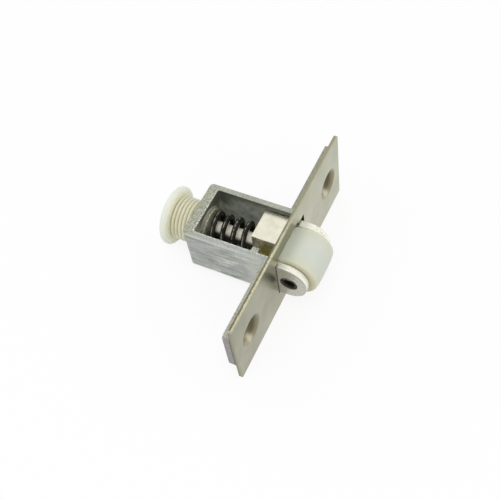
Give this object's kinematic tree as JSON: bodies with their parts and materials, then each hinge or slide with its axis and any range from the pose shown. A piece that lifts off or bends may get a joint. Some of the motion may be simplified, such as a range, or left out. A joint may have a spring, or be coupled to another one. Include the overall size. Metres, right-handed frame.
{
  "type": "roller catch",
  "caption": "Mortise roller catch: a sprung nylon roller in a forked bolt, a cast open-sided housing, a screw-on faceplate and a threaded adjuster that sets the roller's projection.",
  "frame": {"origin": "on the bolt's axis, midway between the fixing screws, in the plane of the flange's back", "axes": "+X along the faceplate, +Y into the door along the bolt, +Z across the faceplate towards the housing's open side"},
  "size_m": [0.067, 0.0488, 0.025],
  "materials": {
    "cast_zinc": "bare zinc casting, matt and streaked",
    "satin_nickel": "satin nickel plate",
    "bright_nickel": "bright nickel plate",
    "nylon": "natural nylon, milky",
    "black_steel": "black oxide",
    "plain_steel": "plain zinc plate"
  },
  "bodies": {
    "case": {"housing": "cast_zinc", "faceplate": "satin_nickel"},
    "spring_seat": {"seat_washer": "plain_steel", "spring": "black_steel"},
    "adjuster": {"adjuster": "nylon"},
    "bolt": {"bolt_fork": "bright_nickel", "spindle": "bright_nickel", "roller_pin": "black_steel", "retaining_clip": "black_steel"},
    "roller": {"roller": "nylon"}
  },
  "joints": [
    {"name": "adjuster_travel", "type": "slide", "parent": "case", "child": "spring_seat", "axis": [0, 1, 0], "range_m": [-0.0044, 0]},
    {"name": "adjuster_turn", "type": "hinge", "parent": "spring_seat", "child": "adjuster", "pos_m": [0, 0.028, 0], "axis": [0, 1, 0], "range_deg": [-1440, 0]},
    {"name": "bolt_slide", "type": "slide", "parent": "spring_seat", "child": "bolt", "axis": [0, 1, 0], "range_m": [0, 0.003], "stiffness_N_per_m": 1500, "springref_m": -0.004, "deforming": ["spring"]},
    {"name": "roller_spin", "type": "hinge", "parent": "bolt", "child": "roller", "pos_m": [-0.00065, -0.0067, 0], "axis": [1, 0, 0], "continuous": true}
  ],
  "couplings": [
    {"joint": "adjuster_turn", "follows": "adjuster_travel", "rad_per_m": 5712}
  ]
}
